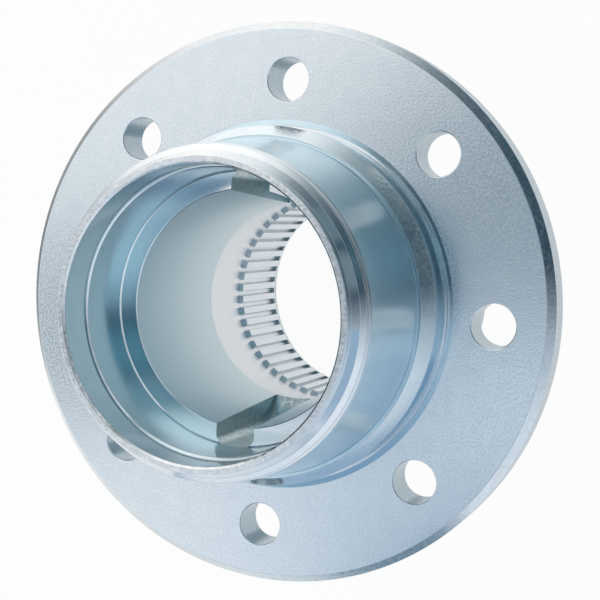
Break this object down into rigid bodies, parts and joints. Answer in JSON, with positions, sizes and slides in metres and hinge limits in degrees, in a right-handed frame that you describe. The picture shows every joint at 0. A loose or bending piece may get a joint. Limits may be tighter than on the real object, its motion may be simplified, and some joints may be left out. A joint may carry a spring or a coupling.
{
  "type": "wheel hub",
  "caption": "Flanged wheel hub with a bearing nose, a disc collar, bolt holes round the flange and an internally splined drive end.",
  "frame": {"origin": "centre of the bolt circle, on the hub's axis in the plane of the disc face", "axes": "+Z along the hub's axis towards the bearing nose; +Y through one bolt hole and one knock-out notch"},
  "size_m": [0.2074, 0.2074, 0.1741],
  "materials": {
    "zinc_plated_forging": "bright bluish zinc plating on turned steel",
    "zinc_plated_teeth": "pale satin zinc plating on broached steel",
    "zinc_plated_ring": "darker zinc plating on turned steel"
  },
  "bodies": {
    "root": {"hub_body": "zinc_plated_forging", "spline_ring": "zinc_plated_teeth", "retaining_ring": "zinc_plated_ring"}
  },
  "joints": []
}
